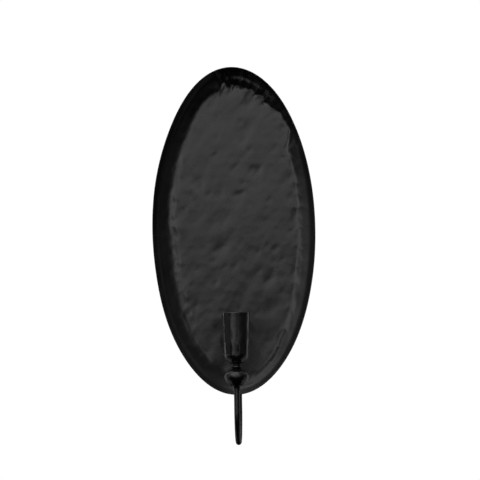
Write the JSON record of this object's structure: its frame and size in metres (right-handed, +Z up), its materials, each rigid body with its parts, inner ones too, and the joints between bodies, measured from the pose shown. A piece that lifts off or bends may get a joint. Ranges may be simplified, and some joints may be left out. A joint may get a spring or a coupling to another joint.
{
  "type": "wall candle holder",
  "caption": "Tall oval wall plate of hammered steel with a turned-up rim and a tulip-shaped taper-candle cup on a U-bent rod, painted satin black.",
  "frame": {"origin": "centre of the round end of the hanger's keyhole, on the plane of the wall", "axes": "+Z up along the dish's long axis, +Y into the wall, the candle stands out towards -Y, +X to the right seen from the front"},
  "size_m": [0.168, 0.0823, 0.3895],
  "materials": {
    "dish_paint": "satin black paint over hammered steel sheet",
    "rod_paint": "satin black paint over bent steel rod",
    "turned_paint": "semi-gloss black paint over turned steel",
    "cup_paint": "satin black paint over lightly planished steel",
    "zinc_plate": "zinc-plated screw",
    "strap_paint": "satin black paint over flat steel strap"
  },
  "bodies": {
    "root": {"dish": "dish_paint", "arm": "rod_paint", "ball_knob": "turned_paint", "collar": "turned_paint", "candle_cup": "cup_paint", "cup_screw": "zinc_plate", "hanger": "strap_paint"}
  },
  "joints": []
}
